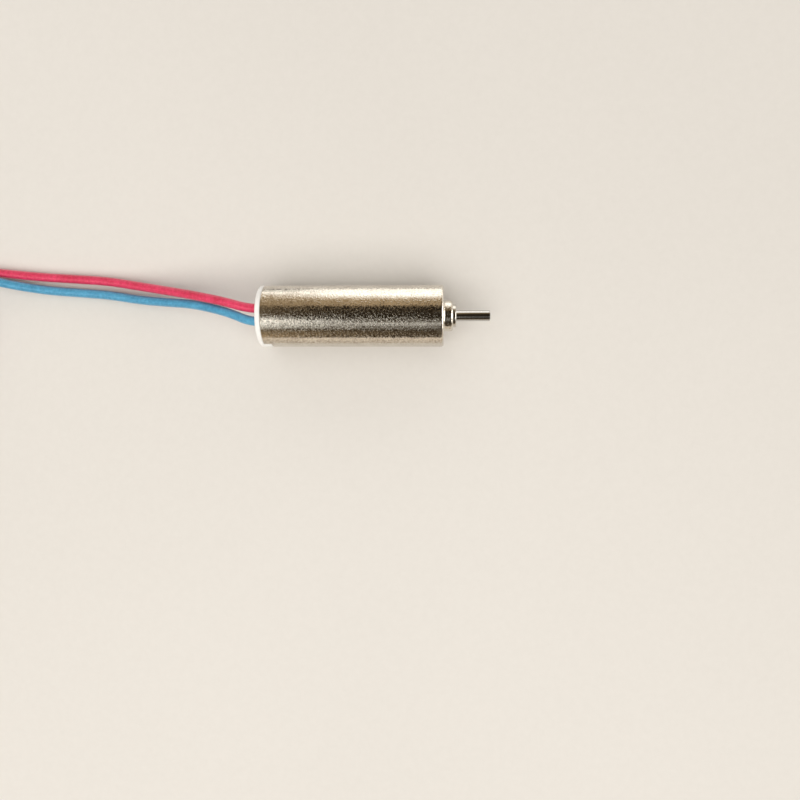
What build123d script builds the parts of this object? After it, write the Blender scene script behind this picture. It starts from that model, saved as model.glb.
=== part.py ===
from build123d import *
from math import cos, degrees, hypot, pi, radians, sin, sqrt, tan
import os

# Cylindrical coreless micro motor with a plain shaft and two leads, in millimetres.
# +X runs along the shaft towards its free end, and +Z is up. The origin is on the
# motor's axis, in the plane of the can's front face. The motor lies on its side, and
# its leads run back over the surface to a small coil.

# Overall sizes
body_diameter = 4.0
body_length = 12.0
shaft_projection = 3.0
shaft_diameter = 0.7

# Drawn can, with the boss that holds the bearing tube
can_wall = 0.25
front_wall = 0.3
can_edge_radius = 0.17
boss_wall = 0.25
boss_length = 0.6
boss_edge_radius = 0.18
boss_root_radius = 0.12

# Bearing tube and the two bearings in it
tube_diameter = 1.5
tube_bore = 1.15
tube_projection = 0.2
tube_edge_radius = 0.08
bearing_length = 1.6
bearing_recess = 0.05
shaft_clearance = 0.02

# Magnet and winding
air_gap = 0.1
winding_wall = 0.2
magnet_front_gap = 0.15
magnet_chamfer = 0.08
winding_front_gap = 0.3
tube_past_magnet = 0.15

# Rotor hub, commutator and shaft ends
end_play = 0.05
washer_thickness = 0.1
washer_diameter = 1.2
hub_thickness = 0.45
sleeve_diameter = 1.1
sleeve_length = 1.7
segment_count = 3
segment_thickness = 0.15
segment_slot = 0.12
segment_inset = 0.05
riser_width = 0.42
riser_thickness = 0.1
riser_end_gap = 0.12
tap_diameter = 0.1
tap_bend_radius = 0.1
tap_solder_radius = 0.15
shaft_chamfer = 0.08
sleeve_to_shaft_end = 0.15

# End cap
flange_thickness = 0.35
flange_edge_radius = 0.2
spigot_length = 1.15
spigot_wall = 0.4
cap_floor = 0.85
thrust_plate_diameter = 1.0
thrust_plate_thickness = 0.15
thrust_plate_proud = 0.05
key_width = 0.9
key_length = 0.5
key_clearance = 0.02
key_angle = -10

# Brushes and terminals
brush_thickness = 0.08
brush_clearance = 0.02
brush_width = 0.7
brush_slit = 0.1
brush_slit_top = 0.35
brush_bend_height = -0.3
brush_end_height = -0.7
brush_end_flare = 0.14
brush_bend_radius = 0.25
terminal_thickness = 0.1
terminal_drop = 0.3
terminal_root = 0.2
terminal_clearance = 0.04

# Leads
lead_diameter = 0.6
lead_hole_clearance = 0.02
lead_hole_y = 0.43
lead_hole_z = 0.85
lead_inside_cap = 0.15
core_diameter = 0.25
core_length = 0.2
solder_radius = 0.2
solder_drop = 0.05
tip_diameter = 0.3
tip_length = 1.8
lead_length = 58.2

# Coil of the leads and the tie around it
coil_distance = 23.6
coil_y = -0.6
coil_turn_radius = 3.9
coil_pitch = 0.63
coil_inner_radius = 2.63
coil_leave_angle = 55
coil_stub_length = 1.1
tie_thickness = 0.15
tie_width = 1.0
tie_gap = 0.02

# Radii and stations along the axis that follow from the sizes above
can_radius = body_diameter / 2
can_bore = can_radius - can_wall
boss_radius = tube_diameter / 2 + boss_wall
shaft_radius = shaft_diameter / 2
winding_outer = can_bore - air_gap
winding_inner = winding_outer - winding_wall
magnet_radius = winding_inner - air_gap
sleeve_radius = sleeve_diameter / 2
commutator_radius = sleeve_radius + segment_thickness
spigot_inner = can_bore - spigot_wall
surface_z = -can_radius

cap_back = -body_length
flange_front = cap_back + flange_thickness
spigot_front = flange_front + spigot_length
floor_front = cap_back + cap_floor
thrust_plate_front = floor_front + thrust_plate_proud
thrust_plate_back = thrust_plate_front - thrust_plate_thickness
shaft_back = thrust_plate_front + end_play
sleeve_back = shaft_back + sleeve_to_shaft_end
hub_back = sleeve_back + sleeve_length
hub_front = hub_back + hub_thickness
washer_front = hub_front + washer_thickness
tube_back = washer_front + end_play
magnet_back = tube_back + tube_past_magnet
magnet_front = -front_wall - magnet_front_gap
winding_front = -front_wall - winding_front_gap
tube_front = boss_length + tube_projection
segment_back = sleeve_back + segment_inset
riser_back = hub_back - riser_thickness
brush_back = (segment_back + riser_back - brush_width) / 2

# How close an edge's place must be to the one it is looked up by
tolerance = 0.001


def turn(back, front, radius, mode=Mode.ADD):
    # A cylinder on the motor's axis, added to the piece being made or cut from it.
    along_x = (Align.CENTER, Align.CENTER, Align.MIN)
    with Locations((back, 0, 0)):
        Cylinder(radius, front - back, rotation=(0, 90, 0), align=along_x, mode=mode)


def radius_of(edge):
    # The distance of a round edge from the motor's axis.
    return hypot((edge @ 0).Y, (edge @ 0).Z)


def round_edges(part, x, radius):
    # The round edges of a turned piece that lie at one station and have one radius.
    circles = part.edges().filter_by(GeomType.CIRCLE)
    rims = circles.filter_by_position(Axis.X, x - tolerance, x + tolerance)
    return rims.filter_by(lambda edge: abs(radius_of(edge) - radius) < tolerance)


def key_section(width):
    # Two arcs of the can's wall, on the sides, where the cap's keys sit.
    Circle(can_radius)
    Circle(can_bore, mode=Mode.SUBTRACT)
    Rectangle(3 * can_radius, width, rotation=key_angle, mode=Mode.INTERSECT)


os.makedirs("parts", exist_ok=True)

# Can: one drawn shell, open at the back, with a bored boss on its front wall.
with BuildPart() as can:
    turn(flange_front, 0, can_radius)
    turn(0, boss_length, boss_radius)
    turn(flange_front, -front_wall, can_bore, Mode.SUBTRACT)
    turn(-front_wall, boss_length, tube_diameter / 2, Mode.SUBTRACT)
    fillet(round_edges(can, 0, can_radius), can_edge_radius)
    fillet(round_edges(can, 0, boss_radius), boss_root_radius)
    fillet(round_edges(can, boss_length, boss_radius), boss_edge_radius)
    with BuildSketch(Plane.YZ.offset(flange_front)):
        key_section(key_width + 2 * key_clearance)
    extrude(amount=key_length + key_clearance, mode=Mode.SUBTRACT)
can.part.label = "can"
export_step(can.part, "parts/can.step")

# Bearing tube: pressed through the boss, it carries the magnet and both bearings.
with BuildPart() as bearing_tube:
    turn(tube_back, tube_front, tube_diameter / 2)
    turn(tube_back, tube_front, tube_bore / 2, Mode.SUBTRACT)
    fillet(round_edges(bearing_tube, tube_front, tube_diameter / 2), tube_edge_radius)
bearing_tube.part.label = "bearing_tube"
export_step(bearing_tube.part, "parts/bearing_tube.step")

# Bearings: plain sintered sleeves, one near each end of the tube.
bearing_backs = {
    "front_bearing": tube_front - bearing_recess - bearing_length,
    "rear_bearing": tube_back,
}
for name, back in bearing_backs.items():
    with BuildPart() as bearing:
        turn(back, back + bearing_length, tube_bore / 2)
        turn(back, back + bearing_length, shaft_radius + shaft_clearance, Mode.SUBTRACT)
    bearing.part.label = name
    export_step(bearing.part, f"parts/{name}.step")

# Magnet: a ring on the bearing tube, inside the winding.
with BuildPart() as magnet:
    turn(magnet_back, magnet_front, magnet_radius)
    turn(magnet_back, magnet_front, tube_diameter / 2, Mode.SUBTRACT)
    outer_rims = round_edges(magnet, magnet_back, magnet_radius)
    outer_rims += round_edges(magnet, magnet_front, magnet_radius)
    chamfer(outer_rims, magnet_chamfer)
magnet.part.label = "magnet"
export_step(magnet.part, "parts/magnet.step")

# Winding: the self-supporting copper cup that turns around the magnet.
with BuildPart() as winding:
    turn(hub_back, winding_front, winding_outer)
    turn(hub_back, winding_front, winding_inner, Mode.SUBTRACT)
winding.part.label = "winding"
export_step(winding.part, "parts/winding.step")

# Rotor hub: the disc that closes the cup, with the sleeve under the commutator.
with BuildPart() as rotor_hub:
    turn(hub_back, hub_front, winding_inner)
    turn(sleeve_back, hub_back, sleeve_radius)
    turn(sleeve_back, hub_front, shaft_radius, Mode.SUBTRACT)
rotor_hub.part.label = "rotor_hub"
export_step(rotor_hub.part, "parts/rotor_hub.step")

# Shaft, chamfered at both ends.
with BuildPart() as shaft:
    turn(shaft_back, shaft_projection, shaft_radius)
    chamfer(shaft.edges().filter_by(GeomType.CIRCLE), shaft_chamfer)
shaft.part.label = "shaft"
export_step(shaft.part, "parts/shaft.step")

# Thrust washer: it stops the rotor against the rear bearing.
with BuildPart() as thrust_washer:
    turn(hub_front, washer_front, washer_diameter / 2)
    turn(hub_front, washer_front, shaft_radius, Mode.SUBTRACT)
thrust_washer.part.label = "thrust_washer"
export_step(thrust_washer.part, "parts/thrust_washer.step")

# Commutator: each segment has a riser on the hub, where one tap of the winding is
# soldered down.
segment_pitch = 360 / segment_count
segment_sweep = segment_pitch - 360 * segment_slot / (2 * pi * commutator_radius)
riser_outer = winding_inner - riser_end_gap
riser_length = riser_outer - sleeve_radius
solder_at = riser_outer - tap_solder_radius
tap_radius = winding_outer - winding_wall / 2
tap_back = riser_back - tap_diameter / 2
tap_solder_reach = sqrt(tap_solder_radius**2 - (tap_diameter / 2) ** 2)
for number in range(segment_count):
    middle = segment_pitch * number + segment_pitch / 4
    outward = Vector(0, cos(radians(middle)), sin(radians(middle)))

    with BuildPart() as segment:
        with BuildSketch(Plane.YZ.offset(segment_back)):
            with BuildLine():
                start = middle - segment_sweep / 2
                outer = CenterArc((0, 0), commutator_radius, start, segment_sweep)
                inner = CenterArc((0, 0), sleeve_radius, start, segment_sweep)
                Line(outer @ 0, inner @ 0)
                Line(outer @ 1, inner @ 1)
            make_face()
        extrude(amount=hub_back - segment_back)
        with BuildSketch(Plane.YZ.offset(riser_back)):
            with PolarLocations(sleeve_radius + riser_length / 2, 1, start_angle=middle):
                Rectangle(riser_length, riser_width)
            Circle(sleeve_radius, mode=Mode.SUBTRACT)
        extrude(amount=riser_thickness)
    segment.part.label = f"commutator_segment_{number + 1}"
    export_step(segment.part, f"parts/commutator_segment_{number + 1}.step")

    with BuildPart() as tap:
        with BuildLine() as tap_path:
            FilletPolyline(
                outward * tap_radius + Vector(hub_back, 0, 0),
                outward * tap_radius + Vector(tap_back, 0, 0),
                outward * (solder_at + tap_solder_reach) + Vector(tap_back, 0, 0),
                radius=tap_bend_radius,
            )
        with BuildSketch(Plane.YZ.offset(hub_back)):
            with Locations((outward.Y * tap_radius, outward.Z * tap_radius)):
                Circle(tap_diameter / 2)
        sweep()
    tap.part.label = f"winding_tap_{number + 1}"
    export_step(tap.part, f"parts/winding_tap_{number + 1}.step")

    with BuildPart() as tap_solder:
        with Locations(outward * solder_at + Vector(riser_back, 0, 0)):
            Sphere(tap_solder_radius)
        split(bisect_by=Plane.YZ.offset(riser_back), keep=Keep.BOTTOM)
    tap_solder.part.label = f"tap_solder_{number + 1}"
    export_step(tap_solder.part, f"parts/tap_solder_{number + 1}.step")

# End cap: flange, spigot and brush chamber, with holes for the leads, slots for the
# terminals, a seat for the thrust plate and a key on each side.
brush_inner = commutator_radius + brush_clearance
brush_outer = brush_inner + brush_thickness
terminal_outer = brush_outer + terminal_thickness
terminal_middle = (brush_outer + terminal_outer) / 2
terminal_top = sqrt((spigot_inner - terminal_clearance) ** 2 - terminal_outer**2)
terminal_height = terminal_top - lead_hole_z + terminal_drop
terminal_mid_height = terminal_top - terminal_height / 2
terminal_back = floor_front - terminal_root
with BuildPart() as end_cap:
    turn(cap_back, flange_front, can_radius)
    fillet(round_edges(end_cap, cap_back, can_radius), flange_edge_radius)
    turn(flange_front, spigot_front, can_bore)
    turn(floor_front, spigot_front, spigot_inner, Mode.SUBTRACT)
    turn(thrust_plate_back, floor_front, thrust_plate_diameter / 2, Mode.SUBTRACT)
    with BuildSketch(Plane.YZ.offset(flange_front)):
        key_section(key_width)
    extrude(amount=key_length)
    with BuildSketch(Plane.YZ.offset(cap_back)):
        with Locations((lead_hole_y, lead_hole_z), (-lead_hole_y, lead_hole_z)):
            Circle(lead_diameter / 2 + lead_hole_clearance)
    extrude(amount=cap_floor, mode=Mode.SUBTRACT)
    with BuildSketch(Plane.YZ.offset(terminal_back)):
        slot_places = [(side * terminal_middle, terminal_mid_height) for side in (1, -1)]
        with Locations(*slot_places):
            Rectangle(terminal_thickness, terminal_height)
    extrude(amount=terminal_root, mode=Mode.SUBTRACT)
end_cap.part.label = "end_cap"
export_step(end_cap.part, "parts/end_cap.step")

# Thrust plate: the shaft's back end runs against it.
with BuildPart() as thrust_plate:
    turn(thrust_plate_back, thrust_plate_front, thrust_plate_diameter / 2)
thrust_plate.part.label = "thrust_plate"
export_step(thrust_plate.part, "parts/thrust_plate.step")

# Routes of the leads, as points along their middle lines. Each starts inside the cap,
# passes its hole, comes down to the surface and ends in the first turn of its coil.
lead_start_x = floor_front + lead_inside_cap
lead_lie_z = surface_z + lead_diameter / 2
red_z = surface_z + tie_thickness + lead_diameter / 2
blue_z = red_z + lead_diameter
coil_x = cap_back - coil_distance
coil_entry_y = coil_y + coil_turn_radius
routes = {
    "red": [
        (lead_start_x, lead_hole_y, lead_hole_z),
        (cap_back - 0.5, lead_hole_y, lead_hole_z),
        (cap_back - 2.2, 0.92, surface_z + 2.55),
        (cap_back - 4.3, 1.365, surface_z + 1.94),
        (cap_back - 6.5, 1.76, surface_z + 1.22),
        (cap_back - 8.7, 2.13, surface_z + 0.65),
        (cap_back - 10.9, 2.5, surface_z + 0.34),
        (cap_back - 13.0, 2.655, lead_lie_z),
        (cap_back - 15.4, 2.8, lead_lie_z),
        (cap_back - 18.0, 3.05, surface_z + 0.32),
        (cap_back - 20.5, coil_entry_y, surface_z + 0.4),
        (cap_back - 22.6, coil_entry_y, red_z),
    ],
    "blue": [
        (lead_start_x, -lead_hole_y, lead_hole_z),
        (cap_back - 0.4, -lead_hole_y, lead_hole_z),
        (cap_back - 1.8, 0.15, surface_z + 2.52),
        (cap_back - 3.3, 0.56, surface_z + 2.0),
        (cap_back - 4.9, 0.876, surface_z + 1.5),
        (cap_back - 6.6, 1.01, surface_z + 1.0),
        (cap_back - 8.7, 1.2, surface_z + 0.58),
        (cap_back - 10.9, 1.57, surface_z + 0.34),
        (cap_back - 13.0, 1.73, lead_lie_z),
        (cap_back - 15.3, 1.9, surface_z + 0.34),
        (cap_back - 17.6, 2.25, surface_z + 0.58),
        (cap_back - 19.8, 2.75, surface_z + 0.95),
        (cap_back - 21.3, 3.15, blue_z),
        (cap_back - 22.6, coil_entry_y, blue_z),
    ],
}
layers = {"red": red_z, "blue": blue_z}


def bend_radii(points):
    # Each bend takes 0.45 of its shorter run on either side.
    radii = []
    for before, here, after in zip(points, points[1:], points[2:]):
        run_in = Vector(*here) - Vector(*before)
        run_out = Vector(*after) - Vector(*here)
        half_turn = radians(run_in.get_angle(run_out)) / 2
        radii.append(0.45 * min(run_in.length, run_out.length) / tan(half_turn))
    return radii


def coil_end(route_length):
    # How far round a coil goes: the turns that use up a lead's length between its
    # route and its stub, found by steps of the spiral.
    turned, used = 0.0, route_length + coil_stub_length + (routes["red"][-1][0] - coil_x)
    step = radians(1)
    while used < lead_length:
        used += (coil_turn_radius - coil_pitch * turned / (2 * pi)) * step
        turned += step
    return turned


for colour, side in (("red", 1), ("blue", -1)):
    # Terminal: a strip that stands in the cap's floor.
    with BuildPart() as terminal:
        with BuildSketch(Plane.YZ.offset(terminal_back)):
            with Locations((side * terminal_middle, terminal_mid_height)):
                Rectangle(terminal_thickness, terminal_height)
        extrude(amount=brush_back + brush_width - terminal_back)
    terminal.part.label = f"terminal_{colour}"
    export_step(terminal.part, f"parts/terminal_{colour}.step")

    # Brush: a flat spring on the terminal, slit into two fingers that pass the
    # commutator and flare at their ends.
    with BuildPart() as brush:
        with BuildSketch(Plane.YZ.offset(brush_back)):
            middle_y = brush_inner + brush_thickness / 2
            with BuildLine():
                FilletPolyline(
                    (side * middle_y, terminal_top),
                    (side * middle_y, brush_bend_height),
                    (side * (middle_y + brush_end_flare), brush_end_height),
                    radius=brush_bend_radius,
                )
            trace(line_width=brush_thickness)
        extrude(amount=brush_width)
        slit_height = brush_slit_top - 2 * brush_end_height
        slit_middle = brush_slit_top - slit_height / 2
        with Locations((brush_back + brush_width / 2, side * middle_y, slit_middle)):
            Box(brush_slit, can_radius / 2, slit_height, mode=Mode.SUBTRACT)
    brush.part.label = f"brush_{colour}"
    export_step(brush.part, f"parts/brush_{colour}.step")

    # Solder joint: the lead's bare core and the solder that holds it to the terminal.
    with BuildPart() as solder_joint:
        with BuildSketch(Plane.YZ.offset(lead_start_x)):
            with Locations((side * lead_hole_y, lead_hole_z)):
                Circle(core_diameter / 2)
        extrude(amount=core_length)
        solder_y = side * (brush_outer - solder_radius)
        with Locations((lead_start_x + core_length, solder_y, lead_hole_z - solder_drop)):
            Sphere(solder_radius)
    solder_joint.part.label = f"solder_joint_{colour}"
    export_step(solder_joint.part, f"parts/solder_joint_{colour}.step")

    # Lead: the stretch that isn't coiled.
    route = routes[colour]
    radii = bend_radii(route)
    with BuildPart() as lead:
        with BuildLine() as lead_path:
            FilletPolyline(*route, radius=radii)
        with BuildSketch(Plane.YZ.offset(lead_start_x)):
            with Locations((side * lead_hole_y, lead_hole_z)):
                Circle(lead_diameter / 2)
        sweep()
    lead.part.label = f"lead_{colour}"
    export_step(lead.part, f"parts/lead_{colour}.step")
    route_length = sum(edge.length for edge in lead_path.edges())
    section = pi * lead_diameter**2 / 4
    volume_share = lead.part.volume / section / route_length
    print(f"lead_{colour} radii", [round(radius, 1) for radius in radii])
    print(f"lead_{colour} length", round(route_length, 3), "volume share", volume_share)

    # Coil: the outer shape of the flat turns, and the stub that leaves them inwards.
    end_turn = coil_end(route_length)
    end_angle = pi / 2 + end_turn
    end_radius = coil_turn_radius - coil_pitch * end_turn / (2 * pi)
    leave = end_angle + pi / 2 + radians(coil_leave_angle)
    heading = Vector(cos(leave), sin(leave), 0)
    to_end = Vector(cos(end_angle), sin(end_angle), 0) * end_radius
    stub_start = Vector(coil_x, coil_y, layers[colour]) + to_end
    stub_end = stub_start + heading * coil_stub_length
    print(f"lead_coil_{colour} turns", end_turn / (2 * pi), "end", end_radius, end_angle)
    stub_place = Location((stub_start.X, stub_start.Y), degrees(leave))
    with BuildPart() as coil:
        with BuildSketch(Plane.XY.offset(layers[colour] - lead_diameter / 2)):
            with Locations((coil_x, coil_y)):
                Circle(coil_turn_radius + lead_diameter / 2)
                Circle(coil_inner_radius, mode=Mode.SUBTRACT)
            with Locations(stub_place):
                Rectangle(coil_stub_length, lead_diameter, align=(Align.MIN, Align.CENTER))
        extrude(amount=lead_diameter)
    coil.part.label = f"lead_coil_{colour}"
    export_step(coil.part, f"parts/lead_coil_{colour}.step")

    # Tip: the lead's stripped and tinned end.
    with BuildPart() as tip:
        with BuildSketch(Plane(origin=stub_end, z_dir=heading)):
            Circle(tip_diameter / 2)
        extrude(amount=tip_length)
    tip.part.label = f"lead_tip_{colour}"
    export_step(tip.part, f"parts/lead_tip_{colour}.step")

# Tie: a band around both coils, on the side away from the motor.
tie_out = coil_turn_radius + lead_diameter / 2 + tie_gap
tie_in = sqrt(coil_inner_radius**2 - (tie_width / 2) ** 2) - tie_gap
tie_low = surface_z + tie_thickness
tie_high = blue_z + lead_diameter / 2 + tie_gap
with BuildPart() as lead_tie:
    with BuildSketch(Plane.XZ.offset(-coil_y - tie_width / 2)):
        with Locations((coil_x - (tie_in + tie_out) / 2, (tie_low + tie_high) / 2)):
            length, height = tie_out - tie_in, tie_high - tie_low
            Rectangle(length + 2 * tie_thickness, height + 2 * tie_thickness)
            Rectangle(length, height, mode=Mode.SUBTRACT)
    extrude(amount=tie_width)
lead_tie.part.label = "lead_tie"
export_step(lead_tie.part, "parts/lead_tie.step")
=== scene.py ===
# Coreless micro motor, 4 mm across and 12 mm long, with a plain shaft and two leads.
# Pieces are shaped in millimetres and brought to metres when they are finished.
import math

import bpy
from mathutils import Matrix, Vector


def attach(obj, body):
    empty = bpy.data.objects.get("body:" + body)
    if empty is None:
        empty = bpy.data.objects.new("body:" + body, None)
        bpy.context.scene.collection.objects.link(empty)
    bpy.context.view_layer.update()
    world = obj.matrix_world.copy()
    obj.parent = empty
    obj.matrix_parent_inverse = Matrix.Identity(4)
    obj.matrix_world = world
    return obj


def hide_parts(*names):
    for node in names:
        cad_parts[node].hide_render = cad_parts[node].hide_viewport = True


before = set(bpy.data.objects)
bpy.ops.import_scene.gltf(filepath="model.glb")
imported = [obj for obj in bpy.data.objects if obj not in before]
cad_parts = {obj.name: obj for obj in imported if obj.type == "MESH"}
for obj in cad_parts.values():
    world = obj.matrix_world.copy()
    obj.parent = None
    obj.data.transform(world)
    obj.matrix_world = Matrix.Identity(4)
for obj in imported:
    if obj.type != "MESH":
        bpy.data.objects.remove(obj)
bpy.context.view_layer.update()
print("frame loaded")

mm = 0.001
floorHeight = -2.0  # the motor lies on its side, so the floor is one radius down


# Shader maths

class Wire:
    # One output of a node, that sums and products can be written with.
    def __init__(self, tree, socket=None):
        self.tree = tree
        self.socket = socket

    def node(self, kind, settings=None, inputs=None, out=0):
        made = self.tree.nodes.new("ShaderNode" + kind)
        for name, value in (settings or {}).items():
            if name == "stops":
                fillRamp(made.color_ramp, value)
            else:
                setattr(made, name, value)
        for name, value in (inputs or {}).items():
            if isinstance(value, Wire):
                self.tree.links.new(value.socket, made.inputs[name])
            else:
                made.inputs[name].default_value = value
        return Wire(self.tree, made.outputs[out])

    def math(self, operation, first, second=0.0):
        return self.node("Math", {"operation": operation}, {0: first, 1: second})

    def __add__(self, other):
        return self.math("ADD", self, other)

    def __radd__(self, other):
        return self.math("ADD", other, self)

    def __sub__(self, other):
        return self.math("SUBTRACT", self, other)

    def __rsub__(self, other):
        return self.math("SUBTRACT", other, self)

    def __mul__(self, other):
        return self.math("MULTIPLY", self, other)

    def __rmul__(self, other):
        return self.math("MULTIPLY", other, self)


def fillRamp(colourRamp, stops):
    # stops are (position, grey value) pairs, from left to right.
    while len(colourRamp.elements) < len(stops):
        colourRamp.elements.new(1.0)
    for element, (position, level) in zip(colourRamp.elements, stops):
        element.position = position
        element.color = (level, level, level, 1.0)


def newMaterial(name, **constants):
    # A material with its shader's constants set, its shader, and the Wire that its nodes start from.
    material = bpy.data.materials.new(name)
    material.use_nodes = True
    tree = material.node_tree
    shader = tree.nodes["Principled BSDF"]
    for socketName, value in constants.items():
        shader.inputs[socketName.replace("_", " ")].default_value = value
    return material, shader, Wire(tree)


def place(wire, stretch=(1.0, 1.0, 1.0)):
    # Object coordinates in millimetres, stretched by the three factors.
    spot = wire.node("TexCoord", out=3)  # its Object output
    return wire.node("Mapping", {}, {"Vector": spot, "Scale": [factor / mm for factor in stretch]})


def split(wire, where):
    # The three coordinates of a place.
    return [wire.node("SeparateXYZ", {}, {0: where}, out=number) for number in range(3)]


def noise(wire, where, scale, detail, roughness=0.5):
    # scale counts the spots in a millimetre.
    sockets = {"Vector": where, "Scale": scale, "Detail": detail, "Roughness": roughness}
    return wire.node("TexNoise", {}, sockets)


def ramp(wire, value, *stops):
    return wire.node("ValToRGB", {"stops": stops}, {"Fac": value})


def mix(wire, share, first, second):
    # From the first colour to the second. A Mix node keeps its colours on sockets 6 and 7, and output 2.
    return wire.node("Mix", {"data_type": "RGBA"}, {0: share, 6: (*first, 1.0), 7: (*second, 1.0)}, out=2)


def feed(shader, wire, socketName):
    wire.tree.links.new(wire.socket, shader.inputs[socketName])


def feedBump(shader, wire, height, depth):
    # depth is the height of the relief in millimetres.
    bump = wire.node("Bump", {}, {"Height": height, "Distance": depth * mm, "Strength": 1.0})
    feed(shader, bump, "Normal")


# Modelling by hand

facing = 0.9  # a face or edge runs along an axis when that part of its direction is past this
near = 0.01  # places closer than this count as one


def selectOnly(piece):
    bpy.ops.object.select_all(action="DESELECT")
    piece.select_set(True)
    bpy.context.view_layer.objects.active = piece


def pick(piece, kind, test):
    # Selects the faces or edges that pass the test of their middle and direction, and stays in edit mode.
    if bpy.context.mode != "OBJECT":
        leaveEdit()
    selectOnly(piece)
    bpy.ops.object.mode_set(mode="EDIT")
    bpy.ops.mesh.select_mode(type=kind)
    bpy.ops.mesh.select_all(action="DESELECT")
    bpy.ops.object.mode_set(mode="OBJECT")
    corners = piece.data.vertices
    if kind == "FACE":
        for face in piece.data.polygons:
            face.select = test(face.center, face.normal)
    else:
        for edge in piece.data.edges:
            start, end = (corners[number].co for number in edge.vertices)
            edge.select = test((start + end) / 2, (end - start).normalized())
    bpy.ops.object.mode_set(mode="EDIT")


def leaveEdit():
    bpy.ops.object.mode_set(mode="OBJECT")


def push(x):
    # Draws what is selected out along the motor's axis.
    bpy.ops.mesh.extrude_region_move(TRANSFORM_OT_translate={"value": (x, 0, 0)})


def addRod(radius, back, front, sides=128):
    # A closed cylinder along the motor's axis.
    bpy.ops.object.select_all(action="DESELECT")
    bpy.ops.mesh.primitive_cylinder_add(
        vertices=sides, radius=radius, depth=front - back,
        location=((back + front) / 2, 0, 0), rotation=(0, math.pi / 2, 0),
    )
    bpy.ops.object.transform_apply(location=True, rotation=True, scale=True)
    return bpy.context.object


def fromAxis(at):
    return math.hypot(at.y, at.z)


def roundRim(piece, x, radius, width, segments):
    # Rounds the ring of edges at one station and one distance from the axis.
    pick(piece, "EDGE", lambda at, along: abs(at.x - x) < near and abs(fromAxis(at) - radius) < near)
    bpy.ops.mesh.bevel(offset=width, offset_type="OFFSET", segments=segments, affect="EDGES")
    leaveEdit()


def cutAway(piece, cutter):
    # Takes the cutter out of the piece, and then removes the cutter.
    selectOnly(piece)
    cut = piece.modifiers.new("cut", "BOOLEAN")
    cut.operation = "DIFFERENCE"
    cut.solver = "EXACT"
    cut.object = cutter
    bpy.ops.object.modifier_apply(modifier=cut.name)
    bpy.data.objects.remove(cutter)


def addBlock(low, high):
    # A block between its lowest and its highest corner, to be shaped or to cut with.
    bpy.ops.object.select_all(action="DESELECT")
    bpy.ops.mesh.primitive_cube_add(
        size=1, location=[(a + b) / 2 for a, b in zip(low, high)],
        scale=[b - a for a, b in zip(low, high)],
    )
    bpy.ops.object.transform_apply(location=True, rotation=True, scale=True)
    return bpy.context.object


def closeUp(piece):
    # Merges doubles and turns the faces outwards.
    selectOnly(piece)
    bpy.ops.object.mode_set(mode="EDIT")
    bpy.ops.mesh.select_all(action="SELECT")
    bpy.ops.mesh.remove_doubles(threshold=0.0005)
    bpy.ops.mesh.normals_make_consistent(inside=False)
    leaveEdit()


def finishPiece(piece, name, material, slot, body, *nodes, angle=32):
    # Brings the piece to metres, shades it, and says what it is and which body it rides on.
    closeUp(piece)
    piece.scale = (mm, mm, mm)
    bpy.ops.object.transform_apply(location=True, rotation=True, scale=True)
    bpy.ops.object.shade_smooth_by_angle(angle=math.radians(angle))
    # Keeps long flat runs shaded true, so that only the rounded edges turn the light.
    flatten = piece.modifiers.new("flatten", "WEIGHTED_NORMAL")
    flatten.keep_sharp = True
    flatten.weight = 100
    bpy.ops.object.modifier_apply(modifier=flatten.name)
    piece.name = name
    piece.data.name = name
    piece.data.materials.clear()
    piece.data.materials.append(material)
    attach(piece, body)
    if nodes:
        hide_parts(*nodes)
    return piece


# Finishes

canFinish = {
    "dark": (0.56, 0.51, 0.45), "light": (0.76, 0.72, 0.65),
    "grain": 8.5, "sparks": 9.0, "drawnLines": 12.0, "clouds": 1.3,  # spots in a millimetre
    "lineLength": 20.0,  # times their width
    "polish": 0.06,  # roughness of the bright grains
    "dullness": 0.19,  # how much rougher the dull grains are
    "relief": 0.0042,
}


def makeCanMetal():
    # Drawn steel under satin nickel: bright grains among dull ones, with faint lines along the can.
    finish = canFinish
    material, shader, wire = newMaterial("canNickel", Metallic=1.0)
    even = place(wire)
    drawn = place(wire, (1.0 / finish["lineLength"], 1.0, 1.0))
    grain = noise(wire, even, finish["grain"], 1.5, 0.55)
    dull = ramp(wire, grain, (0.43, 0.0), (0.57, 1.0))
    sparks = ramp(wire, noise(wire, even, finish["sparks"], 1.0), (0.55, 0.0), (0.70, 1.0))
    lines = noise(wire, drawn, finish["drawnLines"], 3.0, 0.6)
    clouds = noise(wire, even, finish["clouds"], 3.0, 0.55)
    tone = ramp(wire, grain * 0.5 + lines * 0.2 + clouds * 0.3, (0.40, 0.0), (0.60, 1.0))
    feed(shader, mix(wire, tone, finish["dark"], finish["light"]), "Base Color")
    feed(shader, finish["polish"] + dull * finish["dullness"] + clouds * 0.03, "Roughness")
    feedBump(shader, wire, grain * 0.8 + sparks * 1.2 + lines * 0.05, finish["relief"])
    return material


def makeTurnedMetal(name, dark, light, polish, spread, rings=30.0, depth=0.0004):
    # Smooth turned metal, with fine rings around the axis. Its roughness goes from polish up by spread.
    material, shader, wire = newMaterial(name, Metallic=1.0)
    around = place(wire, (1.0, 0.06, 0.06))
    even = place(wire)
    ringMarks = noise(wire, around, rings, 2.0, 0.6)
    specks = noise(wire, even, 18.0, 3.0, 0.6)
    feed(shader, mix(wire, ramp(wire, specks, (0.35, 0.0), (0.65, 1.0)), dark, light), "Base Color")
    feed(shader, polish + ringMarks * spread, "Roughness")
    feedBump(shader, wire, ringMarks + specks * 0.3, depth)
    return material


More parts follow.
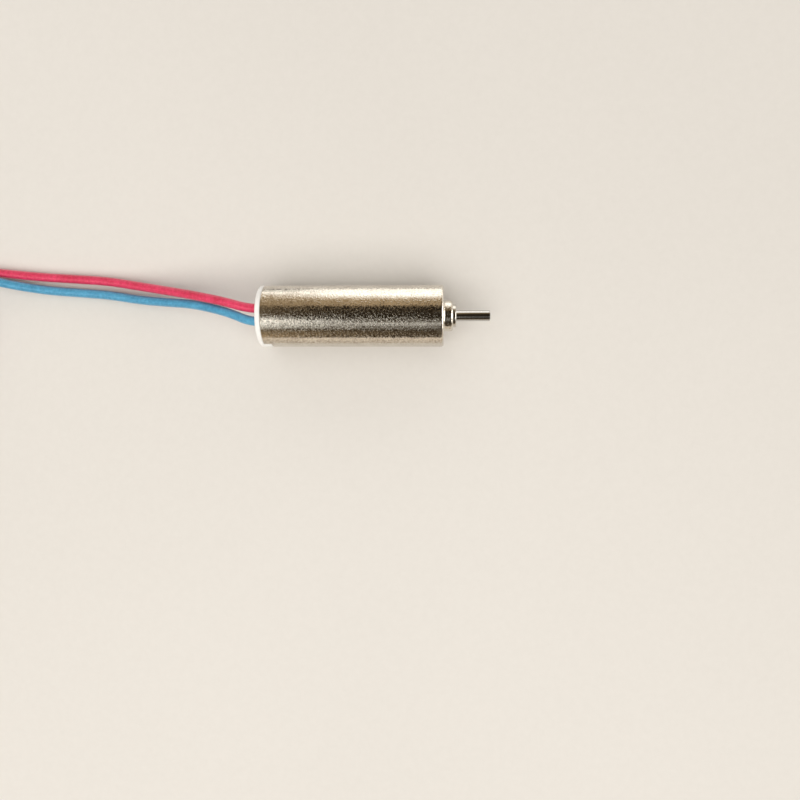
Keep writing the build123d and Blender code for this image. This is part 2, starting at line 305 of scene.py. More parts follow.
def makeGrainyMetal(name, dark, light, polish, spread, scale=16.0, depth=0.002):
    # Sintered or cast metal, with pores. scale counts its grains in a millimetre.
    material, shader, wire = newMaterial(name, Metallic=1.0)
    even = place(wire)
    grain = noise(wire, even, scale, 4.0, 0.65)
    cells = wire.node("TexVoronoi", {}, {"Vector": even, "Scale": scale * 0.7})
    pits = ramp(wire, cells, (0.02, 0.0), (0.35, 1.0))
    tone = ramp(wire, grain * 0.6 + pits * 0.4, (0.3, 0.0), (0.75, 1.0))
    feed(shader, mix(wire, tone, dark, light), "Base Color")
    feed(shader, polish + grain * spread, "Roughness")
    feedBump(shader, wire, grain * 0.5 + pits * 0.5, depth)
    return material


def makePlastic(name, dark, light, polish, spread):
    # Moulded plastic: a fine even texture and slow changes of tone.
    material, shader, wire = newMaterial(name)
    even = place(wire)
    fine = noise(wire, even, 21.6, 3.0, 0.6)
    slow = noise(wire, even, 1.35, 2.0)
    tone = ramp(wire, fine * 0.45 + slow * 0.55, (0.35, 0.0), (0.65, 1.0))
    feed(shader, mix(wire, tone, dark, light), "Base Color")
    feed(shader, polish + fine * spread, "Roughness")
    feedBump(shader, wire, fine, 0.0012)
    return material


def makeJacket(name, dark, light):
    # Soft insulation: mottled, with a fine skin and a faint bloom.
    material, shader, wire = newMaterial(
        name, Coat_Weight=0.3, Coat_Roughness=0.3, Sheen_Weight=0.25, Sheen_Roughness=0.4
    )
    even = place(wire)
    mottle = noise(wire, even, 5.0, 3.0, 0.6)
    fine = noise(wire, even, 16.0, 2.0, 0.6)
    slow = noise(wire, even, 0.8, 2.0)
    tone = ramp(wire, mottle * 0.45 + fine * 0.3 + slow * 0.25, (0.38, 0.0), (0.62, 1.0))
    feed(shader, mix(wire, tone, dark, light), "Base Color")
    feed(shader, 0.30 + fine * 0.18, "Roughness")
    feedBump(shader, wire, mottle * 0.6 + fine * 0.5, 0.006)
    return material


def makeCopper():
    # Enamelled wire laid side by side around the cup, in a slanting winding set in resin.
    material, shader, wire = newMaterial("windingCopper", Metallic=1.0, Coat_Weight=0.4, Coat_Roughness=0.12)
    even = place(wire)
    x, y, z = split(wire, even)
    turned = wire.math("ARCTAN2", z, y)
    windings = wire.math("SINE", x * 55.0 + turned * 16.0)
    patches = noise(wire, even, 3.0, 3.0, 0.55)
    tone = ramp(wire, windings * 0.25 + patches * 0.7 + 0.1, (0.15, 0.0), (0.85, 1.0))
    feed(shader, mix(wire, tone, (0.28, 0.09, 0.035), (0.86, 0.42, 0.22)), "Base Color")
    feed(shader, 0.22 + patches * 0.18, "Roughness")
    feedBump(shader, wire, windings * 0.5 + patches * 0.3, 0.004)
    return material


def makeFloor():
    # Matt pale paper, with no gloss of its own.
    material, shader, wire = newMaterial("floorPaper", Specular_IOR_Level=0.0)
    even = place(wire)
    fine = noise(wire, even, 2.2, 4.0, 0.6)
    slow = noise(wire, even, 0.02, 2.0)
    tone = ramp(wire, fine * 0.4 + slow * 0.6, (0.3, 0.0), (0.7, 1.0))
    feed(shader, mix(wire, tone, (0.70, 0.67, 0.63), (0.74, 0.71, 0.67)), "Base Color")
    feed(shader, 0.75 + fine * 0.1, "Roughness")
    return material


canMetal = makeCanMetal()
tubeMetal = makeTurnedMetal(
    "tubeSteel", dark=(0.52, 0.49, 0.45), light=(0.70, 0.67, 0.62), polish=0.16, spread=0.14
)
shaftMetal = makeTurnedMetal(
    "shaftSteel", dark=(0.50, 0.49, 0.48), light=(0.60, 0.59, 0.58), polish=0.05, spread=0.10,
    rings=40.0, depth=0.0002,
)
bronze = makeGrainyMetal(
    "sinteredBronze", dark=(0.25, 0.14, 0.06), light=(0.62, 0.42, 0.24), polish=0.38, spread=0.25
)
magnetMetal = makeGrainyMetal(
    "magnetNickel", dark=(0.30, 0.30, 0.31), light=(0.52, 0.52, 0.53), polish=0.3, spread=0.2
)
capPlastic = makePlastic(
    "capWhite", dark=(0.86, 0.84, 0.81), light=(0.93, 0.92, 0.90), polish=0.36, spread=0.16
)
contactMetal = makeTurnedMetal(
    "contactAlloy", dark=(0.62, 0.46, 0.22), light=(0.85, 0.70, 0.44), polish=0.18, spread=0.16
)
solderMetal = makeGrainyMetal(
    "solderTin", dark=(0.52, 0.52, 0.52), light=(0.78, 0.78, 0.78), polish=0.2, spread=0.18, scale=8.0
)
copper = makeCopper()
hubPlastic = makePlastic(
    "hubBlack", dark=(0.016, 0.016, 0.018), light=(0.035, 0.035, 0.038), polish=0.42, spread=0.14
)
redJacket = makeJacket("redInsulation", dark=(0.52, 0.012, 0.050), light=(0.78, 0.045, 0.140))
blueJacket = makeJacket("blueInsulation", dark=(0.035, 0.22, 0.39), light=(0.085, 0.37, 0.59))
tiePlastic = makePlastic(
    "tieWhite", dark=(0.74, 0.73, 0.70), light=(0.84, 0.83, 0.80), polish=0.5, spread=0.14
)
tinnedWire = makeGrainyMetal(
    "tinnedCopper", dark=(0.55, 0.50, 0.45), light=(0.80, 0.77, 0.73), polish=0.2, spread=0.2,
    scale=12.0, depth=0.001,
)
print("finishes made")


# Camera, floor and lights

viewSizes = {
    "distance": 49.0,
    "elevation": 87.0,
    "lens": 33.7,
    "lookAt": (-2.96, -5.6, -2.0),
    "clip": (0.001, 20.0),  # metres
}
camera = bpy.data.objects.new("camera", bpy.data.cameras.new("camera"))
bpy.context.scene.collection.objects.link(camera)
rise = math.radians(viewSizes["elevation"])
eye = Vector((0, -math.cos(rise), math.sin(rise))) * viewSizes["distance"]
# Its sides stay in line with the shaft, which a plain track to the place it looks at would turn.
ahead = (Vector(viewSizes["lookAt"]) - eye).normalized()
sideways = ahead.cross(Vector((0, 1, 0))).normalized()
turn = Matrix((sideways, sideways.cross(ahead), -ahead)).transposed().to_4x4()
camera.matrix_world = Matrix.Translation(eye * mm) @ turn
camera.data.lens = viewSizes["lens"]
camera.data.clip_start, camera.data.clip_end = viewSizes["clip"]
bpy.context.scene.camera = camera

stageSizes = {
    "floorReach": 420.0,
    "tentRadius": 250.0, "tentLength": 700.0,
    "cardReach": 300.0, "cardEnd": 249.0, "cardHeight": -1.96,  # cloths just above the floor
    "farCardEdge": 6.6, "nearCardEdge": -6.0,
    "endCardReach": 130.0, "endCardTop": 190.0, "endCardStation": 260.0,
    "wallRadius": 900.0,
    "hazeLift": 0.05, "hazeStart": 60.0, "hazeFull": 240.0,
}


def addPanel(name, low, high, material):
    # A flat panel through two opposite corners that share one coordinate, y or z.
    bpy.ops.object.select_all(action="DESELECT")
    middle = [(a + b) / 2 * mm for a, b in zip(low, high)]
    size = [(b - a) * mm for a, b in zip(low, high)]
    standing = size[2] != 0
    tilt = math.pi / 2 if standing else 0
    bpy.ops.mesh.primitive_plane_add(size=1, location=middle, rotation=(tilt, 0, 0))
    panel = bpy.context.object
    panel.scale = (size[0], size[2] if standing else size[1], 1)
    bpy.ops.object.transform_apply(location=True, rotation=True, scale=True)
    panel.name = name
    panel.data.materials.append(material)
    return panel


floorLow = (-stageSizes["floorReach"], -stageSizes["floorReach"], floorHeight)
floorHigh = (stageSizes["floorReach"], stageSizes["floorReach"], floorHeight)
addPanel("floor", floorLow, floorHigh, makeFloor())


def fade(wire, value, first, last, low, high):
    # Goes from low to high as value goes from first to last.
    settings = {"clamp": True, "interpolation_type": "SMOOTHSTEP"}
    return wire.node("MapRange", settings, {0: value, 1: first, 2: last, 3: low, 4: high})


def makeGlow(name, glowOf, coverOf=None):
    # A cloth that shines. glowOf gives a tint and a strength for a place in millimetres, and
    # coverOf how much of what lies behind is covered.
    cloth = bpy.data.materials.new(name)
    cloth.use_nodes = True
    tree = cloth.node_tree
    tree.nodes.clear()
    wire = Wire(tree)
    x, y, z = split(wire, place(wire))
    tint, level = glowOf(wire, x, y, z)
    surface = wire.node("Emission", {}, {"Color": tint, "Strength": level})
    if coverOf:
        clear = wire.node("BsdfTransparent")
        surface = wire.node("MixShader", {}, {0: coverOf(wire, x, y, z), 1: clear, 2: surface})
    end = tree.nodes.new("ShaderNodeOutputMaterial")
    tree.links.new(surface.socket, end.inputs["Surface"])
    return cloth


def onlyInMetal(panel):
    # Seen in reflections, and not by the camera or as light or shade on the floor.
    panel.visible_camera = False
    panel.visible_diffuse = False
    panel.visible_transmission = False
    panel.visible_shadow = False


def onlyInCamera(panel):
    onlyInMetal(panel)
    panel.visible_camera = True
    panel.visible_glossy = False


# The tent shows the metal a wide bright window low down on the far side, a brown strip above it, a
# dark roof, a soft lamp on the near side and a faint glow under it. Angles are in degrees from
# straight up, above 0 on the far side, and stations are in millimetres along the shaft.
tentGlow = {
    "windowAngles": (55.0, 93.0), "windowStations": (-80.0, -26.0), "windowLevels": (0.30, 2.3),
    "stripAngles": (34.5, 36.5), "stripLevel": 0.36,
    "stripStations": (-84.0, -20.0), "stripShares": (0.55, 1.35),
    "lampAngles": (-10.0, -27.0, -36.0, -56.0), "lampTurn": 14.0,  # the lamp's turn at the cap's end
    "lampStations": (-78.0, -46.0), "lampLevels": (1.15, 0.40),
    "lowAngles": (-50.0, -66.0, -76.0, -86.0), "lowLevel": 0.13,
    "capEnd": (-84.0, -54.0), "capGlow": 0.16,
    "shaftStations": (1.0, 9.0), "shaftShare": 0.3,  # what the shaft shows is darker
    "openEnd": (25.0, 90.0), "openShare": 0.35,  # the far side past the shaft's end
    "brown": (1.0, 0.74, 0.44), "white": (1.0, 0.99, 0.93),
    "roof": 0.03,
}


def tentLight(wire, x, y, z):
    glow = tentGlow
    angle = wire.math("ARCTAN2", y, z) * (180 / math.pi)
    capEnd = fade(wire, x, *glow["capEnd"], 1.0, 0.0)
    window = fade(wire, angle, *glow["windowAngles"], 0.0, 1.0)
    window = window * fade(wire, x, *glow["windowStations"], *glow["windowLevels"])
    window = window * fade(wire, x, *glow["openEnd"], 1.0, glow["openShare"])
    strip = fade(wire, angle, *glow["stripAngles"], 0.0, glow["stripLevel"])
    strip = strip * fade(wire, x, *glow["stripStations"], *glow["stripShares"])
    strip = strip * fade(wire, angle, 36.0, 60.0, 1.2, 1.0)
    gaps = fade(wire, noise(wire, place(wire), 0.045, 1.0), 0.42, 0.60, 0.30, 2.0)
    lampTop, lampFull, lampEnd, lampFoot = glow["lampAngles"]
    lamp = fade(wire, angle - capEnd * glow["lampTurn"], lampTop, lampFull, 0.0, 1.0)
    lamp = lamp * fade(wire, angle, lampEnd, lampFoot, 1.0, 0.0)
    lamp = lamp * gaps * fade(wire, x, *glow["lampStations"], *glow["lampLevels"])
    lowTop, lowFull, lowEnd, lowFoot = glow["lowAngles"]
    low = fade(wire, angle, lowTop, lowFull, 0.0, glow["lowLevel"])
    low = low * fade(wire, angle, lowEnd, lowFoot, 1.0, 0.2) * fade(wire, x, -80.0, -8.0, 1.5, 0.4)
    low = low + fade(wire, angle, -74.0, -80.0, 0.0, 0.5) * capEnd
    beyond = fade(wire, x, *glow["shaftStations"], 1.0, glow["shaftShare"])
    whiteness = wire.math("MINIMUM", window * 0.9 + lamp * 3.0, 1.0)
    tint = mix(wire, whiteness, glow["brown"], glow["white"])
    return tint, window + (strip + lamp) * beyond + low + capEnd * glow["capGlow"] + glow["roof"]


def farFloorLight(wire, x, y, z):
    # Dimmer beside the cap, right at the can and past the shaft's end.
    atCap = fade(wire, x, -12.5, -8.0, 0.6, 0.0) * fade(wire, y, 8.0, 30.0, 1.0, 0.0)
    level = fade(wire, x, -80.0, -30.0, 0.38, 1.9) * fade(wire, y, 6.6, 9.5, 0.3, 1.0)
    atEnd = fade(wire, x, *tentGlow["openEnd"], 1.0, tentGlow["openShare"])
    return (1.0, 0.97, 0.9, 1.0), level * (1.0 - atCap) * atEnd


def nearFloorLight(wire, x, y, z):
    return (1.0, 0.88, 0.72, 1.0), fade(wire, y, -6.0, -24.0, 0.62, 1.0)


def endLight(wire, x, y, z):
    return (1.0, 0.98, 0.93, 1.0), 6.0 - 0.006 * z


def wallLight(wire, x, y, z):
    return (1.0, 0.925, 0.83, 1.0), fade(wire, z, -60.0, 600.0, 0.85, 0.87)


def hazeCover(wire, x, y, z):
    away = wire.math("SQRT", x * x + y * y)
    return fade(wire, away, stageSizes["hazeStart"], stageSizes["hazeFull"], 0.0, 1.0)


def addTent():
    # Half a tube around the motor, above the floor.
    bpy.ops.object.select_all(action="DESELECT")
    bpy.ops.mesh.primitive_cylinder_add(
        vertices=96, radius=stageSizes["tentRadius"] * mm, depth=stageSizes["tentLength"] * mm,
        end_fill_type="NOTHING", rotation=(0, math.pi / 2, 0),
    )
    bpy.ops.object.transform_apply(location=True, rotation=True, scale=True)
    tent = bpy.context.object
    bpy.ops.object.mode_set(mode="EDIT")
    bpy.ops.mesh.select_all(action="SELECT")
    bpy.ops.mesh.bisect(plane_co=(0, 0, 0), plane_no=(0, 0, 1), clear_inner=True)
    leaveEdit()
    tent.name = "tent"
    tent.data.materials.append(makeGlow("tentCloth", tentLight))
    onlyInMetal(tent)


def addFloorCard(name, firstEdge, lastEdge, glowOf):
    low = (-stageSizes["cardReach"], firstEdge, stageSizes["cardHeight"])
    high = (stageSizes["cardReach"], lastEdge, stageSizes["cardHeight"])
    onlyInMetal(addPanel(name, low, high, makeGlow(name, glowOf)))


def addEndCard():
    # Stands across the shaft, well past its end.
    low = (-stageSizes["endCardReach"], 0, 0)
    high = (stageSizes["endCardReach"], 0, stageSizes["endCardTop"])
    card = addPanel("endCard", low, high, makeGlow("endCloth", endLight))
    across = Matrix.Rotation(math.pi / 2, 4, "Z")
    card.data.transform(Matrix.Translation((stageSizes["endCardStation"] * mm, 0, 0)) @ across)
    onlyInMetal(card)


def addWall():
    # A pale wall all round, for low views.
    bpy.ops.object.select_all(action="DESELECT")
    bpy.ops.mesh.primitive_uv_sphere_add(segments=48, ring_count=24, radius=stageSizes["wallRadius"] * mm)
    wall = bpy.context.object
    wall.name = "backdrop"
    bpy.ops.object.shade_smooth()
    wall.data.materials.append(makeGlow("backdropCloth", wallLight))
    onlyInCamera(wall)


def addHaze():
    # Far off, the floor turns into the wall with no edge.
    lift = Vector((0, 0, stageSizes["hazeLift"]))
    haze = makeGlow("hazeCloth", wallLight, hazeCover)
    onlyInCamera(addPanel("haze", Vector(floorLow) + lift, Vector(floorHigh) + lift, haze))


addTent()
addFloorCard("farFloorCard", stageSizes["farCardEdge"], stageSizes["cardEnd"], farFloorLight)
addFloorCard("nearFloorCard", -stageSizes["cardEnd"], stageSizes["nearCardEdge"], nearFloorLight)
addEndCard()
addWall()
addHaze()

# Places and sizes in millimetres, power in watts.
lamps = {
    "softFar": {"at": (0, 260, 90), "towards": (0, 0, 0), "size": (560, 160), "power": 0.22},
    "softNear": {"at": (0, -112, 205), "towards": (0, 0, 0), "size": (460, 190), "power": 0.56},
    "softAbove": {"at": (-120, 60, 260), "towards": (-10, 0, 0), "size": (260, 260), "power": 0.20},
}
lampTint = (1.0, 0.97, 0.92)
airLight = {"tint": (1.0, 0.97, 0.93, 1.0), "level": 0.38}


def addLamp(name, at, towards, size, power):
    # A soft area light that the metal doesn't show.
    data = bpy.data.lights.new(name, "AREA")
    data.shape = "RECTANGLE"
    data.size, data.size_y = (side * mm for side in size)
    data.energy = power
    data.color = lampTint
    lamp = bpy.data.objects.new(name, data)
    bpy.context.scene.collection.objects.link(lamp)
    lamp.location = Vector(at) * mm
    lamp.rotation_euler = (Vector(towards) - Vector(at)).to_track_quat("-Z", "Y").to_euler()
    lamp.visible_glossy = False


for name, lamp in lamps.items():
    addLamp(name, **lamp)
world = bpy.data.worlds.new("studio")
world.use_nodes = True
air = world.node_tree.nodes["Background"]
air.inputs["Color"].default_value = airLight["tint"]
air.inputs["Strength"].default_value = airLight["level"]
bpy.context.scene.world = world
bpy.context.scene.view_settings.view_transform = "Standard"
print("camera and lights set")


# Leads

leadSizes = {
    "radius": 0.3,
    "length": 60.0,  # with the stripped end
    "coilCentre": (-35.6, -0.6),
    "firstTurn": 3.9,  # radius of the outer turn
    "pitch": 0.63,
    "pointsPerTurn": 24,
    "leaveAngle": 55.0,  # how far the end turns in from the coil
    "stub": 1.1,
    "stepsAlong": 8, "stepsAround": 6,
}
leads = {
    "red": {
        "exit": (-12.0, 0.43, 0.85),
        "layer": -1.55,
        "turns": 1.4833,
        "route": [
            (-11.0, 0.43, 0.85), (-12.5, 0.43, 0.85), (-14.2, 0.92, 0.55), (-16.3, 1.365, -0.06),
            (-18.5, 1.76, -0.78), (-20.7, 2.13, -1.35), (-22.9, 2.5, -1.66), (-25.0, 2.655, -1.7),
            (-27.4, 2.8, -1.7), (-30.0, 3.05, -1.68), (-32.5, 3.3, -1.6), (-34.6, 3.3, -1.55),
        ],
    },
    "blue": {
        "exit": (-12.0, -0.43, 0.85),
        "layer": -0.95,
        "turns": 1.4722,
        "route": [
            (-11.0, -0.43, 0.85), (-12.4, -0.43, 0.85), (-13.8, 0.15, 0.52), (-15.3, 0.56, 0.0),
            (-16.9, 0.876, -0.5), (-18.6, 1.01, -1.0), (-20.7, 1.2, -1.42), (-22.9, 1.57, -1.66),
            (-25.0, 1.73, -1.7), (-27.3, 1.9, -1.66), (-29.6, 2.25, -1.42), (-31.8, 2.75, -1.05),
            (-33.3, 3.15, -0.95), (-34.6, 3.3, -0.95),
        ],
    },
}


def towardsAngle(angle):
    return Vector((math.cos(angle), math.sin(angle), 0))


def coilPoints(layer, turns):
    # The flat turns inwards from the route, then the short end that leaves them.
    centre = Vector((*leadSizes["coilCentre"], layer))
    count = math.ceil(turns * leadSizes["pointsPerTurn"])
    points = []
    for step in range(count + 1):
        turned = 2 * math.pi * turns * step / count
        reach = leadSizes["firstTurn"] - leadSizes["pitch"] * turned / (2 * math.pi)
        angle = math.pi / 2 + turned
        points.append(centre + towardsAngle(angle) * reach)
    heading = towardsAngle(angle + math.pi / 2 + math.radians(leadSizes["leaveAngle"]))
    points.append(points[-1] + heading * leadSizes["stub"])
    return points, heading


def addLead(colourName, material):
    # The jacket, and where and how its end lies.
    lead = leads[colourName]
    turnPoints, heading = coilPoints(lead["layer"], lead["turns"])
    points = [Vector(point) for point in lead["route"]] + turnPoints
    curve = bpy.data.curves.new(f"lead_{colourName}_jacket", "CURVE")
    curve.dimensions = "3D"
    spline = curve.splines.new("NURBS")
    spline.points.add(len(points) - 1)
    for point, at in zip(spline.points, points):
        point.co = (*(at * mm), 1.0)
    spline.order_u = 3
    spline.use_endpoint_u = True
    spline.resolution_u = leadSizes["stepsAlong"]
    curve.bevel_depth = leadSizes["radius"] * mm
    curve.bevel_resolution = leadSizes["stepsAround"]
    curve.use_fill_caps = True
    piece = bpy.data.objects.new(curve.name, curve)
    bpy.context.scene.collection.objects.link(piece)
    curve.materials.append(material)
    return piece, points[-1], heading


tipSizes = {
    "strand": 0.05, "sides": 14,
    "lay": 0.1,  # the outer strands' distance from the middle one
    "length": 1.8, "steps": 18, "turn": 200.0,
    "squeeze": 0.86,
}


def addTip(name, start, heading):
    # Seven tinned strands, twisted together: their ends are drawn out and turned step by step.
    bpy.ops.object.select_all(action="DESELECT")
    around = [math.radians(60 * number) for number in range(6)]
    spots = [(0, 0, 0)] + [
        (0, tipSizes["lay"] * math.cos(angle), tipSizes["lay"] * math.sin(angle)) for angle in around
    ]
    strands = []
    for spot in spots:
        bpy.ops.mesh.primitive_circle_add(
            vertices=tipSizes["sides"], radius=tipSizes["strand"], fill_type="NGON",
            location=spot, rotation=(0, math.pi / 2, 0),
        )
        strands.append(bpy.context.object)
    for strand in strands:
        strand.select_set(True)
    bpy.context.view_layer.objects.active = strands[0]
    bpy.ops.object.join()
    tip = bpy.context.object
    bpy.ops.object.transform_apply(location=True, rotation=True, scale=True)
    bpy.ops.object.mode_set(mode="EDIT")
    bpy.ops.mesh.select_all(action="SELECT")
    stepTurn = math.radians(tipSizes["turn"] / tipSizes["steps"])
    for step in range(tipSizes["steps"]):
        push(x=tipSizes["length"] / tipSizes["steps"])
        bpy.ops.transform.rotate(value=stepTurn, orient_axis="X", center_override=(0, 0, 0))
    squeeze = tipSizes["squeeze"]
    bpy.ops.transform.resize(value=(1.0, squeeze, squeeze), center_override=(0, 0, 0))
    leaveEdit()
    closeUp(tip)
    # The bunch is turned to its heading and set down at the jacket's end.
    tip.location = start
    tip.rotation_euler = (0, 0, math.atan2(heading.y, heading.x))
    bpy.ops.object.transform_apply(location=True, rotation=True, scale=True)
    return finishPiece(tip, name, tinnedWire, "solder", "stator")


tieSizes = {
    "back": -39.97, "front": -38.012, "low": -2.0, "high": -0.48, "side": -1.1, "width": 1.0,
    "thickness": 0.15, "corner": 0.22, "edge": 0.03,
    "lapBack": -38.9, "lapLow": -1.35, "lapRise": 0.06,
}


def addTie():
    # A coated band around both coils: a block with rounded corners, opened into a band.
    sizes = tieSizes
    band = addBlock(
        (sizes["back"], sizes["side"], sizes["low"]),
        (sizes["front"], sizes["side"] + sizes["width"], sizes["high"]),
    )
    pick(band, "EDGE", lambda at, along: abs(along.y) > facing)
    bpy.ops.mesh.bevel(offset=sizes["corner"], segments=8, affect="EDGES")
    pick(band, "FACE", lambda at, out: abs(out.y) > facing)
    bpy.ops.mesh.inset(thickness=sizes["thickness"], use_individual=True)
    bpy.ops.mesh.bridge_edge_loops()
    leaveEdit()
    closeUp(band)
    # The lap: the band's free end lies one layer up, over the corner and down the front.
    lapEdges = (((sizes["lapBack"], 0, 0), (1, 0, 0)), ((0, 0, sizes["lapLow"]), (0, 0, 1)))
    for spot, along in lapEdges:
        pick(band, "FACE", lambda at, out: True)
        bpy.ops.mesh.bisect(plane_co=spot, plane_no=along)
    middle = Vector((sizes["back"] + sizes["front"], 0, sizes["low"] + sizes["high"])) / 2
    pick(band, "FACE", lambda at, out: (
        abs(out.y) < 0.1 and (at - middle).dot(out) > 0
        and at.x > sizes["lapBack"] and at.z > sizes["lapLow"]
    ))
    bpy.ops.mesh.extrude_region_shrink_fatten(TRANSFORM_OT_shrink_fatten={"value": sizes["lapRise"]})
    leaveEdit()
    selectOnly(band)
    soften = band.modifiers.new("soften", "BEVEL")
    soften.width = sizes["edge"]
    soften.segments = 3
    soften.limit_method = "ANGLE"
    soften.angle_limit = math.radians(50)
    bpy.ops.object.modifier_apply(modifier=soften.name)
    return finishPiece(band, "coil_tie", tiePlastic, "tie", "stator", "lead_tie")


tie = addTie()
for colourName, jacket in (("red", redJacket), ("blue", blueJacket)):
    lead, tipStart, tipHeading = addLead(colourName, jacket)
    tip = addTip(f"lead_{colourName}_strands", tipStart, tipHeading)
    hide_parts(f"lead_tip_{colourName}")
    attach(lead, "stator")
    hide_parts(f"lead_{colourName}", f"lead_coil_{colourName}")
    [tip, tie] if colourName == "red" else [tip]
print("leads laid")


# Can

keyTurn = math.radians(10.0)  # the cap's keys and the can's notches are turned a little off the sides

canSizes = {
    "radius": 2.0, "back": -11.65, "wall": 0.25, "frontWall": 0.3, "edge": 0.17, "backEdge": 0.05,
    "bossRadius": 1.0, "bossLength": 0.6, "bossEdge": 0.18, "bossRoot": 0.12, "bore": 0.75,
    "notchWidth": 0.94, "notchDepth": 0.52,
}


def addCan():
    sizes = canSizes
    can = addRod(sizes["radius"], sizes["back"], 0.0)
    # The boss rises from the front wall, and its bore goes down to the inside.
    pick(can, "FACE", lambda at, out: out.x > facing)
    bpy.ops.mesh.inset(thickness=sizes["radius"] - sizes["bossRadius"])
    push(x=sizes["bossLength"])
    bpy.ops.mesh.inset(thickness=sizes["bossRadius"] - sizes["bore"])
    push(x=-sizes["bossLength"] - sizes["frontWall"])
    # The inside is drawn forward from the open back, up to the front wall.
    pick(can, "FACE", lambda at, out: out.x < -facing and at.x < sizes["back"] + near)
    bpy.ops.mesh.inset(thickness=sizes["wall"])
    push(x=-sizes["back"] - sizes["frontWall"])
    bpy.ops.mesh.inset(thickness=sizes["radius"] - sizes["wall"] - sizes["bore"])
    # Bore and inside now meet in two faces that lie on each other, and both go.
    pick(can, "FACE", lambda at, out: fromAxis(at) < 0.1 and abs(at.x + sizes["frontWall"]) < near)
    bpy.ops.mesh.delete(type="FACE")
    leaveEdit()
    closeUp(can)
    roundRim(can, 0.0, sizes["radius"], sizes["edge"], segments=8)
    roundRim(can, 0.0, sizes["bossRadius"], sizes["bossRoot"], segments=5)
    roundRim(can, sizes["bossLength"], sizes["bossRadius"], sizes["bossEdge"], segments=7)
    roundRim(can, sizes["back"], sizes["radius"], sizes["backEdge"], segments=3)
    # One block cuts both notches, and reaches past the can's sides and back.
    half = sizes["notchWidth"] / 2
    past = sizes["radius"] + 1
    notch = addBlock((sizes["back"] - 1, -past, -half), (sizes["back"] + sizes["notchDepth"], past, half))
    notch.data.transform(Matrix.Rotation(-keyTurn, 4, "X"))
    cutAway(can, notch)
    return finishPiece(can, "can_shell", canMetal, "can", "stator", "can")


addCan()
print("can drawn")


# Bearing tube, front bearing and shaft

noseSizes = {
    "tubeRadius": 0.75, "tubeBore": 0.575, "tubeBack": -8.6, "tubeFront": 0.8, "tubeEdge": 0.08,
    "tubeBoreEdge": 0.025,
    "bearingBack": -0.85, "bearingFront": 0.75, "bearingBore": 0.37, "bearingEdge": 0.03,
    "shaftRadius": 0.35, "shaftBack": -11.05, "shaftFront": 3.0, "shaftChamfer": 0.08,
}


def addRing(outer, inner, back, front):
    # A rod whose two ends are bridged through its middle.
    ring = addRod(outer, back, front, 96)
    pick(ring, "FACE", lambda at, out: abs(out.x) > facing)
    bpy.ops.mesh.inset(thickness=outer - inner, use_individual=True)
    bpy.ops.mesh.bridge_edge_loops()
    leaveEdit()
    closeUp(ring)
    return ring


def addTube():
    sizes = noseSizes
    tube = addRing(sizes["tubeRadius"], sizes["tubeBore"], sizes["tubeBack"], sizes["tubeFront"])
    roundRim(tube, sizes["tubeFront"], sizes["tubeRadius"], sizes["tubeEdge"], segments=5)
    roundRim(tube, sizes["tubeFront"], sizes["tubeBore"], sizes["tubeBoreEdge"], segments=3)
    return finishPiece(tube, "bearing_tube_turned", tubeMetal, "tube", "stator", "bearing_tube")


def addFrontBearing():
    sizes = noseSizes
    bearing = addRing(sizes["tubeBore"], sizes["bearingBore"], sizes["bearingBack"], sizes["bearingFront"])
    for radius in (sizes["bearingBore"], sizes["tubeBore"]):
        roundRim(bearing, sizes["bearingFront"], radius, sizes["bearingEdge"], segments=3)
    return finishPiece(
        bearing, "front_bearing_sintered", bronze, "sintered_bronze", "stator", "front_bearing"
    )


def addShaft():
    sizes = noseSizes
    shaft = addRod(sizes["shaftRadius"], sizes["shaftBack"], sizes["shaftFront"], 96)
    for end in (sizes["shaftBack"], sizes["shaftFront"]):
        roundRim(shaft, end, sizes["shaftRadius"], sizes["shaftChamfer"], segments=2)
    return finishPiece(shaft, "shaft_ground", shaftMetal, "shaft", "rotor", "shaft", angle=20)


addTube()
addFrontBearing()
addShaft()
print("nose and shaft turned")


# End cap

capSizes = {
    "radius": 2.0, "back": -12.0, "flangeFront": -11.65, "edge": 0.2, "lip": 0.04,
    "wallGap": 0.25,  # the can's wall, which the spigot stands back by
    "spigotFront": -10.5, "spigotWall": 0.4, "floorFront": -11.15, "seatRadius": 0.5, "seatDepth": 0.1,
    "keyWidth": 0.9, "keyLength": 0.5, "holeRadius": 0.32, "holeY": 0.43, "holeZ": 0.85,
}


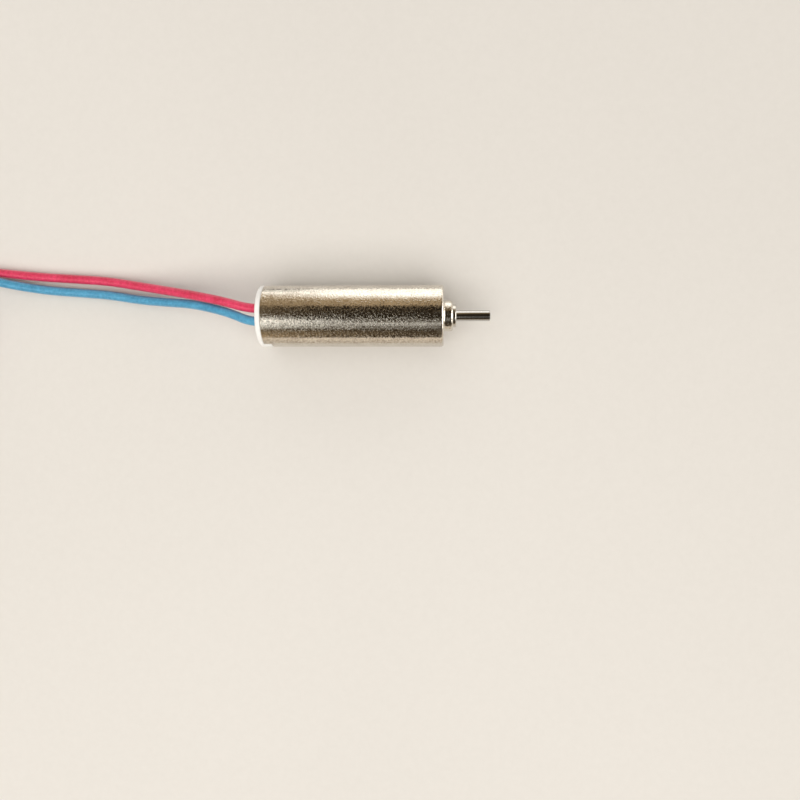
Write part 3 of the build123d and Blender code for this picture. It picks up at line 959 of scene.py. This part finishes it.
def addCap():
    sizes = capSizes
    cap = addRod(sizes["radius"], sizes["back"], sizes["flangeFront"])
    spigotRadius = sizes["radius"] - sizes["wallGap"]
    cupRadius = spigotRadius - sizes["spigotWall"]
    # The spigot goes into the can. It is hollowed to the floor, where the thrust plate has its seat.
    pick(cap, "FACE", lambda at, out: out.x > facing)
    bpy.ops.mesh.inset(thickness=sizes["wallGap"])
    push(x=sizes["spigotFront"] - sizes["flangeFront"])
    bpy.ops.mesh.inset(thickness=sizes["spigotWall"])
    push(x=sizes["floorFront"] - sizes["spigotFront"])
    bpy.ops.mesh.inset(thickness=cupRadius - sizes["seatRadius"])
    push(x=-sizes["seatDepth"])
    leaveEdit()
    closeUp(cap)
    roundRim(cap, sizes["back"], sizes["radius"], sizes["edge"], segments=8)
    roundRim(cap, sizes["flangeFront"], sizes["radius"], sizes["lip"], segments=3)
    # Keys: the flange's front ring is divided at their sides and pushed forward between them.
    half = sizes["keyWidth"] / 2
    upright = Vector((0, math.sin(keyTurn), math.cos(keyTurn)))
    for height in (-half, half):
        pick(cap, "FACE", lambda at, out: True)
        bpy.ops.mesh.bisect(plane_co=upright * height, plane_no=upright)
    ringBack = sizes["flangeFront"] - sizes["lip"] - near
    ringFront = sizes["flangeFront"] + near
    pick(cap, "FACE", lambda at, out: (
        out.x > 0.5 and ringBack < at.x < ringFront
        and abs(at.dot(upright)) < half and fromAxis(at) > spigotRadius
    ))
    push(x=sizes["keyLength"])
    leaveEdit()
    # The two lead holes go through the floor.
    for side in (1, -1):
        hole = addRod(sizes["holeRadius"], sizes["back"] - 0.5, sizes["floorFront"] + 0.2, sides=48)
        hole.data.transform(Matrix.Translation((0, side * sizes["holeY"], sizes["holeZ"])))
        cutAway(cap, hole)
    return finishPiece(cap, "end_cap_moulded", capPlastic, "cap", "stator", "end_cap")


addCap()
print("end cap moulded")


# Parts that stay as they are, inside the can

insideFinishes = {
    "rear_bearing": bronze, "magnet": magnetMetal, "winding": copper, "rotor_hub": hubPlastic,
    "thrust_washer": hubPlastic, "thrust_plate": solderMetal,
}
for number in (1, 2, 3):
    insideFinishes[f"commutator_segment_{number}"] = contactMetal
    insideFinishes[f"winding_tap_{number}"] = copper
    insideFinishes[f"tap_solder_{number}"] = solderMetal
for colourName in ("red", "blue"):
    insideFinishes[f"brush_{colourName}"] = contactMetal
    insideFinishes[f"terminal_{colourName}"] = contactMetal
    insideFinishes[f"solder_joint_{colourName}"] = solderMetal
for name, finish in insideFinishes.items():
    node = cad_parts[name]
    if not node.material_slots:
        node.data.materials.append(finish)
    for holder in node.material_slots:
        holder.material = finish
print("inside finished")
